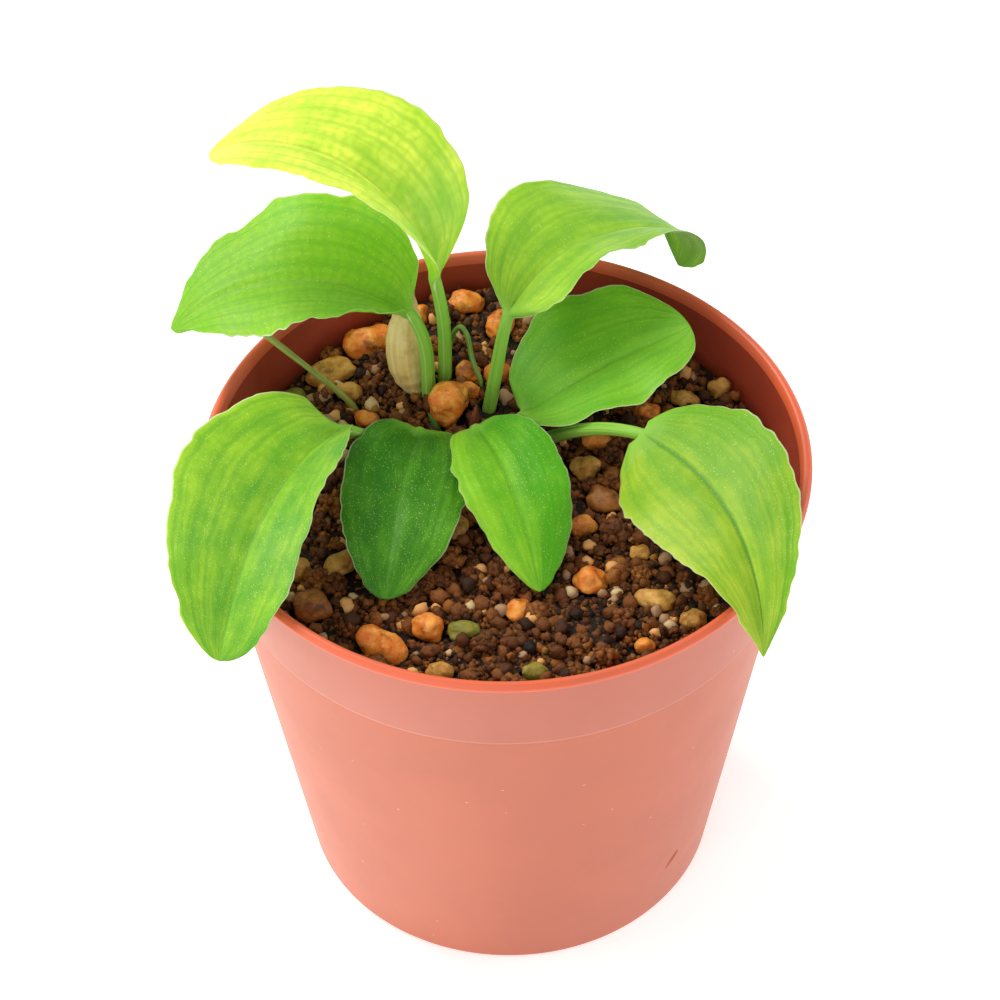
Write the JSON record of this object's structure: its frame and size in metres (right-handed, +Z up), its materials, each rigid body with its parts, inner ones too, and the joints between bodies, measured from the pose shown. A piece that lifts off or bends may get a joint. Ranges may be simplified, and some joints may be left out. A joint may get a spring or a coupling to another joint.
{
  "type": "potted foliage plant",
  "caption": "Small potted plant: broad stalked leaves arching from a creeping stem in granular potting mix with pumice stones, in a tapered plastic nursery pot.",
  "frame": {"origin": "middle of the underside of the pot's base, on the surface that the pot stands on", "axes": "+Z up; the pot is turned about Z; +X to the right and -Y to the front of the plant"},
  "size_m": [0.0946, 0.0968, 0.12],
  "materials": {
    "pot_plastic": "thin moulded terracotta-coloured plastic, satin",
    "moist_mix": null,
    "leaf_back_left_tall_green": null,
    "leaf_back_left_low_green": null,
    "leaf_back_right_green": null,
    "leaf_right_inner_green": null,
    "leaf_right_outer_green": null,
    "leaf_front_right_green": null,
    "leaf_front_left_green": null,
    "leaf_left_outer_green": null,
    "rhizome_skin": "matt creeping stem",
    "papery_skin": "pale papery bulb coat",
    "bud_skin": "reddish brown bud scale",
    "shoot_skin": "dark green shoot tip",
    "old_stalk_skin": "thin olive stalk",
    "root_skin": "thin green root",
    "pumice_orange": null,
    "pumice_tan": null,
    "pumice_brown": null,
    "pumice_mossy": null
  },
  "bodies": {
    "root": {"aerial_root": "root_skin", "bud_scale": "bud_skin", "leaf_back_left_low": "leaf_back_left_low_green", "leaf_back_left_tall": "leaf_back_left_tall_green", "leaf_back_right": "leaf_back_right_green", "leaf_front_left": "leaf_front_left_green", "leaf_front_right": "leaf_front_right_green", "leaf_left_outer": "leaf_left_outer_green", "leaf_right_inner": "leaf_right_inner_green", "leaf_right_outer": "leaf_right_outer_green", "old_stalk": "old_stalk_skin", "papery_sheath": "papery_skin", "pot": "pot_plastic", "potting_mix": "moist_mix", "pumice_01": "pumice_orange", "pumice_02": "pumice_orange", "pumice_03": "pumice_orange", "pumice_04": "pumice_orange", "pumice_05": "pumice_tan", "pumice_06": "pumice_tan", "pumice_07": "pumice_brown", "pumice_08": "pumice_tan", "pumice_09": "pumice_tan", "pumice_10": "pumice_orange", "pumice_11": "pumice_tan", "pumice_12": "pumice_brown", "pumice_13": "pumice_orange", "pumice_14": "pumice_tan", "pumice_15": "pumice_tan", "pumice_16": "pumice_orange", "pumice_17": "pumice_orange", "pumice_18": "pumice_orange", "pumice_19": "pumice_orange", "pumice_20": "pumice_orange", "pumice_21": "pumice_orange", "pumice_22": "pumice_tan", "pumice_23": "pumice_tan", "pumice_24": "pumice_mossy", "pumice_25": "pumice_orange", "pumice_26": "pumice_tan", "pumice_27": "pumice_mossy", "pumice_28": "pumice_tan", "pumice_29": "pumice_mossy", "pumice_30": "pumice_orange", "pumice_31": "pumice_orange", "pumice_32": "pumice_orange", "pumice_33": "pumice_orange", "pumice_34": "pumice_orange", "pumice_35": "pumice_brown", "pumice_36": "pumice_tan", "pumice_37": "pumice_orange", "rhizome": "rhizome_skin", "shoot_tip": "shoot_skin"}
  },
  "joints": []
}
